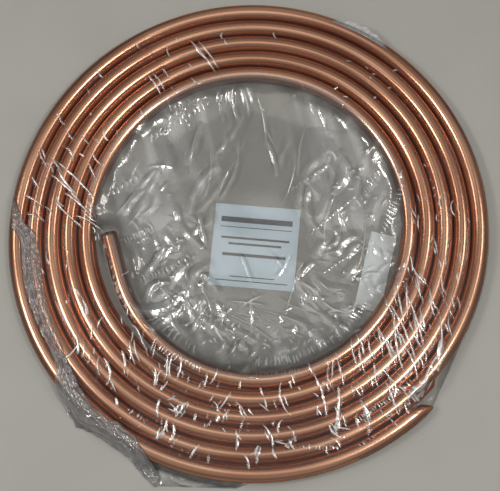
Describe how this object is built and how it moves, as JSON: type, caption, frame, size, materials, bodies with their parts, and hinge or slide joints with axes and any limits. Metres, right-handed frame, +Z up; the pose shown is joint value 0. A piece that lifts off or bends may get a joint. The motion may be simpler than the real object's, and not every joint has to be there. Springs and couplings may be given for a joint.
{
  "type": "copper tube coil",
  "caption": "Flat single-layer coil of soft copper tube lying in a clear film bag, with a blank label card and a paper slip in its eye.",
  "frame": {"origin": "winding centre of the coil, on the floor under the bag", "axes": "+Z up, out of the flat coil; +Y towards the top of the picture, +X to its right"},
  "size_m": [0.5574, 0.5776, 0.0222],
  "materials": {
    "copper": "bright soft-annealed copper, clean, drawn",
    "clear_film": "thin clear polyethylene film, crinkled",
    "label_paper": "smooth pale card, unprinted",
    "slip_paper": "smooth pale paper"
  },
  "bodies": {
    "root": {"copper_tube": "copper", "film_bag": "clear_film", "label_card": "label_paper", "paper_slip": "slip_paper"}
  },
  "joints": []
}
